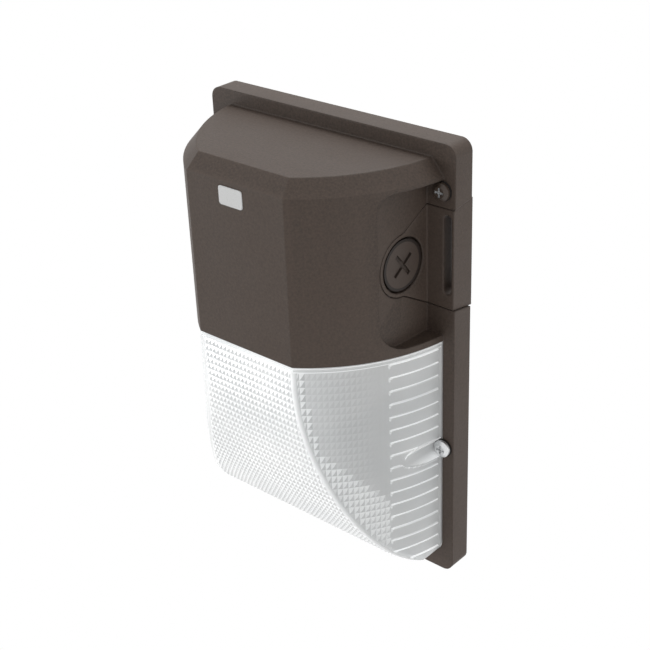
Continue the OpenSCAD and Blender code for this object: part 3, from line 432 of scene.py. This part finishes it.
class Build:
    """Faces that share their points, made into one mesh object."""

    def __init__(self):
        self.v, self.f, self.seen = [], [], {}
        self.look, self.looks = 0, []

    def point(self, p):
        """Number of a point; points within a micrometre are one."""
        key = (round(p[0], 3), round(p[1], 3), round(p[2], 3))
        if key not in self.seen:
            self.seen[key] = len(self.v)
            self.v.append(p)
        return self.seen[key]

    def face(self, *pts):
        """A face in the current look, left out where its points fall together."""
        ids = []
        for p in pts:
            i = self.point(p)
            if i not in ids:
                ids.append(i)
        if len(ids) >= 3:
            self.f.append(ids)
            self.looks.append(self.look)

    def pyramid(self, base, tip, flip=False):
        """Four triangles from the sides of a quad to a tip."""
        for i in range(4):
            f = (base[i], base[(i + 1) % 4], tip)
            self.face(*(reversed(f) if flip else f))

    def strip(self, a, b, flip=False):
        """Quads between two rows of points."""
        for i in range(len(a) - 1):
            f = (a[i], a[i + 1], b[i + 1], b[i])
            self.face(*(reversed(f) if flip else f))

    def sheet(self, rows, flip=False):
        """Strips between all rows."""
        for a, b in zip(rows, rows[1:]):
            self.strip(a, b, flip)

    def object(self, name):
        me = bpy.data.meshes.new(name)
        me.from_pydata([Vector(p) * MM for p in self.v], [], self.f)
        for face, look in zip(me.polygons, self.looks):
            face.material_index = look
        me.validate()
        me.update()
        o = bpy.data.objects.new(name, me)
        bpy.context.scene.collection.objects.link(o)
        return o


def channel_size(y):
    """How far down the driver channel a depth is, and the channel's radius there."""
    t = (RIM_Y - y) / CHAN_REACH
    return t, CHAN_R * (1 + CHAN_FLARE * t)


def channel(x, y, z, grow):
    """Place of the channel's wall where it cuts into the right side, or None."""
    t, r = channel_size(y)
    r += grow
    d = z - CHAN_Z
    if t < -0.02 or abs(d) >= r:
        return None
    wall = CHAN_X - math.sqrt(r * r - d * d)
    return wall if x > wall else None


out_shell, in_shell = Shell(STEP), Shell(STEP + THICK)
lens = Build()


def side_point(shell, s, a, z, lift=0.0, grow=0.0):
    """Point of one side at an angle and height, lifted outward."""
    r = shell.r + lift
    x, y = CX + r * math.cos(a), CY - r * math.sin(a)
    if s > 0:
        wall = channel(CX + shell.r * math.cos(a), y, z, grow)
        if wall is not None:
            x = wall
    p = shell.soften(x, y, z)
    return (s * p[0], p[1], p[2])


def side_lift(s, a, z):
    """Share of prism height on one side: none near the driver channel's mouth."""
    x, y = CX + out_shell.r * math.cos(a), CY - out_shell.r * math.sin(a)
    if s > 0 and channel(x, y, z, CHAN_CLEAR) is not None:
        return 0.0
    return 1.0


def front_patch(shell, col, pitch, peak, top):
    """Pyramids over the curved front, or smooth faces that look inward where peak is 0."""
    rows = rows_down(shell, top, pitch)
    inner = peak == 0
    edge = 0.0 if inner else BAND
    n = int(shell.side_x(RIM_Y) / col) + 2
    cols = [(k - n + 0.5) * col for k in range(2 * n)]
    for z0, z1 in zip(rows, rows[1:]):
        y0, y1 = shell.front_y(z0), shell.front_y(z1)
        l0, l1 = shell.side_x(y0) - edge, shell.side_x(y1) - edge
        for x0, x1 in zip(cols, cols[1:]):
            q = [shell.soften(max(-l, min(l, x)), y, z)
                 for x, y, z, l in ((x0, y0, z0, l0), (x1, y0, z0, l0),
                                    (x1, y1, z1, l1), (x0, y1, z1, l1))]
            upper, lower = q[1][0] - q[0][0], q[2][0] - q[3][0]
            if max(upper, lower) < TINY:
                continue
            if inner:
                lens.face(*reversed(q))
                continue
            full = max(MIN_FULL, min(1.0, upper / col, lower / col))
            m = [sum(p[i] for p in q) / 4 for i in range(3)]
            nrm = shell.front_normal(m[1], m[2])
            lens.pyramid(q, tuple(m[i] + nrm[i] * peak * full for i in range(3)))


def boldness(a, end, z, step):
    """Share of a side prism's height: bold by the ridge and low down, faint above."""
    if (end - a) / step < BOLD_COLS:
        return 1.0
    line = BOLD_Z + (math.degrees(a) - BOLD_ANGLE) * BOLD_SLOPE
    return min(1.0, max(FAINT, (line - z) / BOLD_FADE))


def side_patch(shell, s, top):
    """Square pyramids from the ridge back to the ribs."""
    step = COL_S / shell.r
    rows = levels_down(top, shell.low, ROW_S)
    for z0, z1 in zip(rows, rows[1:]):
        lim = [shell.angle(shell.front_y(z)) - BAND / shell.r for z in (z0, z1)]
        end0, end1 = (max(RIB_EDGE, end) for end in lim)
        a = RIB_EDGE
        while a < max(lim):
            b = a + step
            q = [(min(b, end0), z0), (min(a, end0), z0),
                 (min(a, end1), z1), (min(b, end1), z1)]
            upper, lower = q[0][0] - q[1][0], q[3][0] - q[2][0]
            if max(upper, lower) * shell.r > TINY:
                full = max(MIN_FULL, min(1.0, upper / step, lower / step))
                ma, mz = sum(p[0] for p in q) / 4, sum(p[1] for p in q) / 4
                lift = PEAK_S * boldness(a, lim[0], z0, step) * full * side_lift(s, ma, mz)
                base = [side_point(shell, s, p[0], p[1]) for p in q]
                lens.pyramid(base, side_point(shell, s, ma, mz, lift), s > 0)
            a = b


def rib_patch(shell, s, top):
    """Level ribs from the pyramids back to the rim, which fade out at both ends."""
    a0 = shell.angle(RIM_Y)
    grid = []
    for z in levels_down(top, shell.low, RIB_ROW):
        lim = min(RIB_EDGE, max(a0, shell.angle(shell.front_y(z)) - BAND / shell.r))
        u = ((top - z) / RIB) % 1.0
        saw = (1 - u) if u > RIB_LIP else u / RIB_LIP
        reach = 0.35 + 1.5 * (2 * u - 1) ** 2
        row = []
        for i in range(RIB_COLS + 1):
            a = a0 + (lim - a0) * i / RIB_COLS
            from_rim = (a - a0) * shell.r
            to_edge = (lim - a) * shell.r
            fade = min(1.0, max(0.0, (from_rim - 1.9) / 0.4))
            fade *= min(1.0, max(0.0, (to_edge - reach + 0.9) / 0.5))
            lift = RIB_DEEP * saw * fade * side_lift(s, a, z)
            row.append(side_point(shell, s, a, z, lift))
        grid.append(row)
    for upper, lower in zip(grid, grid[1:]):
        for i in range(RIB_COLS):
            f = (upper[i], lower[i], lower[i + 1], upper[i + 1])
            lens.face(*(f if s < 0 else reversed(f)))


def ridge_band(shell, s, top):
    """Smooth rounded band where the front meets the side, a little proud of the prisms."""
    wide = BAND + RIDGE_LAP
    rows = []
    for z in rows_down(shell, top, 1.0):
        y = shell.front_y(z)
        x = shell.side_x(y)
        a = shell.angle(y)
        nf = shell.front_normal(y, z)
        ns = (math.cos(a), -math.sin(a), 0.0)
        on_front = (x - min(wide, x), y, z)
        a1 = max(shell.angle(RIM_Y), a - wide / shell.r)
        on_side = (CX + shell.r * math.cos(a1), CY - shell.r * math.sin(a1), z)
        row = []
        for i in range(RIDGE_COLS + 1):
            t = i / RIDGE_COLS
            b0, b1, b2 = (1 - t) ** 2, 2 * t * (1 - t), t * t
            p = [b0 * on_front[k] + b1 * (x, y, z)[k] + b2 * on_side[k] for k in range(3)]
            proud = RIDGE_PROUD * math.sin(math.pi * t) ** 0.6
            p = [p[k] + (nf[k] * (1 - t) + ns[k] * t) * proud for k in range(3)]
            p = shell.soften(*p)
            row.append((s * p[0], min(p[1], RIM_Y), max(p[2], shell.low - 0.3)))
        rows.append(row)
    lens.sheet(rows, s < 0)


def outline(inset, back):
    """Plan outline from the left side round the front to the right side."""
    sh = Shell(inset)
    right = []
    a0, a1 = sh.angle(back), sh.angle(sh.front)
    for i in range(PLAN_COLS + 1):
        a = a1 + (a0 - a1) * i / PLAN_COLS
        right.append((CX + sh.r * math.cos(a), CY - sh.r * math.sin(a)))
    return [(-x, y) for x, y in reversed(right)] + right


def collar():
    """Plain border under the dome with a small bead, and the lip that reaches up inside."""
    def loops(levels, back=RIM_Y):
        return [[(x, y, z) for x, y in outline(inset, back)] for inset, z in levels]

    border = loops([(STEP, TOP_Z), (STEP, 15.9), (STEP - 0.3, 15.6), (STEP - 0.3, 15.0),
                    (STEP, 14.7), (STEP, 14.2), (STEP + 0.22, 14.0), (STEP, PRISM_TOP)])
    for a, b in zip(border, border[1:]):
        lens.strip(b, a)
    lens.sheet(loops([(STEP, TOP_Z), (LIP_OUT, TOP_Z), (LIP_IN, TOP_Z),
                      (LIP_IN, TOP_Z - THICK), (STEP + THICK, TOP_Z - THICK)]))
    lens.sheet(loops([(LIP_OUT, TOP_Z), (LIP_OUT, TOP_Z + LIP_HIGH),
                      (LIP_IN, TOP_Z + LIP_HIGH), (LIP_IN, TOP_Z)], POCKET_Y))


def flange():
    """Hidden border behind the housing's rim, and the inner wall's edge."""
    def loop(half, low, r, y):
        pts = [(half, TOP_Z), (half, 0.0), (half, -50.0)]
        for i in range(11):
            t = math.radians(9 * i)
            pts.append((half - r + r * math.cos(t), low + r - r * math.sin(t)))
        return [(x, y, z) for x, z in pts + [(-x, z) for x, z in reversed(pts)]]

    edge = out_shell.side_x(RIM_Y)
    loops = [loop(edge, LOW_Z, CORNER_R, RIM_Y),
             loop(edge, LOW_Z, CORNER_R, FLANGE_FRONT_Y),
             loop(*FLANGE_OUT, CORNER_R, FLANGE_FRONT_Y),
             loop(*FLANGE_OUT, CORNER_R, FLANGE_BACK_Y),
             loop(*FLANGE_IN, FLANGE_IN_R, FLANGE_BACK_Y),
             loop(*FLANGE_IN, FLANGE_IN_R, SEAT_Y),
             loop(in_shell.side_x(RIM_Y), LOW_Z + THICK, CORNER_R - THICK, RIM_Y)]
    for a, b in zip(loops, loops[1:]):
        lens.strip(b, a)


def channel_bead():
    """Raised bright edge over the mouth of the driver channel."""
    rows = []
    for i in range(BEAD_ROWS):
        y = RIM_Y - BEAD_START - i * BEAD_STEP
        r = channel_size(y)[1]
        wide = r * r - (CHAN_X - out_shell.side_x(y)) ** 2
        if wide <= 0:
            break
        a, z = out_shell.angle(y), CHAN_Z + math.sqrt(wide)
        half = 0.25 + 0.75 * math.sin(math.pi * min(1.0, i / 22.0))
        rows.append([side_point(out_shell, 1, a, z + up * half, lift, NO_CHANNEL)
                     for up, lift in ((1.0, 0.05), (0.35, 0.45), (-0.5, 0.4), (-1.0, 0.0))])
    lens.sheet(rows)


def inner_side(s):
    """Smooth inner face of one side."""
    a0 = in_shell.angle(RIM_Y)
    grid = []
    for z in levels_down(TOP_Z - THICK, in_shell.low, INNER_ROW):
        end = max(a0, in_shell.angle(in_shell.front_y(z)))
        grid.append([side_point(in_shell, s, a0 + (end - a0) * i / INNER_COLS, z, 0, THICK)
                     for i in range(INNER_COLS + 1)])
    lens.sheet(grid, s > 0)


front_patch(out_shell, COL_F, ROW_F, PEAK_F, PRISM_TOP)
for side in (1, -1):
    lens.look = 0 if side > 0 else 1
    side_patch(out_shell, side, PRISM_TOP)
    rib_patch(out_shell, side, PRISM_TOP)
    ridge_band(out_shell, side, PRISM_TOP)
lens.look = 0
collar()
flange()
channel_bead()
front_patch(in_shell, 6.0, 4.0, 0, TOP_Z - THICK)
for side in (1, -1):
    inner_side(side)

prism_lens = lens.object("prismatic_lens")
prism_lens.data.materials.append(lens_look)
prism_lens.data.materials.append(lens_look_left)
for p in prism_lens.data.polygons:
    p.use_smooth = False
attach(prism_lens, "door")
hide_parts("refractor_lens")


# Studio, in metres

WHITE = (1, 1, 1, 1)
FLOOR_HALF, FLOOR_Z = 6.0, -0.62
LAMP_AIM = Vector((0, -0.03, 0))


def white_where_seen(tree, plain, white):
    """The plain shader for light, and the white one for camera, mirror and glass rays."""
    rays = tree.nodes.new("ShaderNodeLightPath")
    seen = maths(tree, "MAXIMUM", rays.outputs["Is Camera Ray"], rays.outputs["Is Glossy Ray"])
    seen = maths(tree, "MAXIMUM", seen, rays.outputs["Is Transmission Ray"])
    mix = tree.nodes.new("ShaderNodeMixShader")
    for socket, value in zip(mix.inputs, (seen, plain.outputs[0], white.outputs[0])):
        tree.links.new(value, socket)
    return mix.outputs[0]


world = bpy.data.worlds.new("studio")
bpy.context.scene.world = world
world.use_nodes = True
wt = world.node_tree
wt.nodes.clear()
world_out = wt.nodes.new("ShaderNodeOutputWorld")
soft = add(wt, "ShaderNodeBackground", Strength=0.40, Color=WHITE)
white = add(wt, "ShaderNodeBackground", Strength=1.0, Color=WHITE)
wt.links.new(white_where_seen(wt, soft, white), world_out.inputs[0])

floor_mesh = bpy.data.meshes.new("studio_floor")
floor_mesh.from_pydata([(x * FLOOR_HALF, y * FLOOR_HALF, 0)
                        for x, y in ((-1, -1), (1, -1), (1, 1), (-1, 1))], [], [(0, 1, 2, 3)])
floor = bpy.data.objects.new("studio_floor", floor_mesh)
floor.location = (0, 0, FLOOR_Z)
bpy.context.scene.collection.objects.link(floor)
fm, ft, fb = new_material("studio_white")
fb.inputs["Base Color"].default_value = (0.82, 0.82, 0.82, 1)
fb.inputs["Roughness"].default_value = 0.9
glow = add(ft, "ShaderNodeEmission", Strength=1.0)
floor_out = next(n for n in ft.nodes if n.type == "OUTPUT_MATERIAL")
ft.links.new(white_where_seen(ft, fb, glow), floor_out.inputs[0])
floor_mesh.materials.append(fm)


def lamp(name, place, power, size):
    """Round area lamp that faces the light's middle."""
    data = bpy.data.lights.new(name, "AREA")
    data.shape = "DISK"
    data.size = size
    data.energy = power
    o = bpy.data.objects.new(name, data)
    o.location = place
    o.rotation_mode = "QUATERNION"
    o.rotation_quaternion = (LAMP_AIM - Vector(place)).to_track_quat("-Z", "Y")
    bpy.context.scene.collection.objects.link(o)


lamp("overhead", (-0.25, 0.45, 1.35), 9, 0.7)
lamp("left_front", (-1.1, -1.15, 0.25), 4.5, 0.6)
lamp("right_side", (1.45, -0.35, 0.3), 2.5, 0.9)


# Camera

IMAGE_PX, SENSOR_MM = 650.0, 36.0


def photo_camera(azimuth, elevation, roll, focal_px, target, distance):
    """Camera of the photo: angles in degrees, focal length in pixels, the rest in mm."""
    a, e, r = (math.radians(q) for q in (azimuth, elevation, roll))
    back = Vector((math.sin(a) * math.cos(e), -math.cos(a) * math.cos(e), math.sin(e)))
    right = Vector((math.cos(a), math.sin(a), 0))
    up = back.cross(right)
    right2 = right * math.cos(r) + up * math.sin(r)
    up2 = up * math.cos(r) - right * math.sin(r)
    data = bpy.data.cameras.new("photo_camera")
    data.sensor_width = SENSOR_MM
    data.sensor_height = SENSOR_MM
    data.lens = focal_px / IMAGE_PX * SENSOR_MM
    data.clip_start, data.clip_end = 0.01, 50.0
    o = bpy.data.objects.new("photo_camera", data)
    m = Matrix((right2, up2, back)).transposed().to_4x4()
    m.translation = (Vector(target) + back * distance) * MM
    o.matrix_world = m
    bpy.context.scene.collection.objects.link(o)
    bpy.context.scene.camera = o


photo_camera(42.35, 27.83, -2.39, 1351.08, (20.09, -41.2, 21.89), 611.83)
bpy.context.scene.view_settings.view_transform = "Standard"
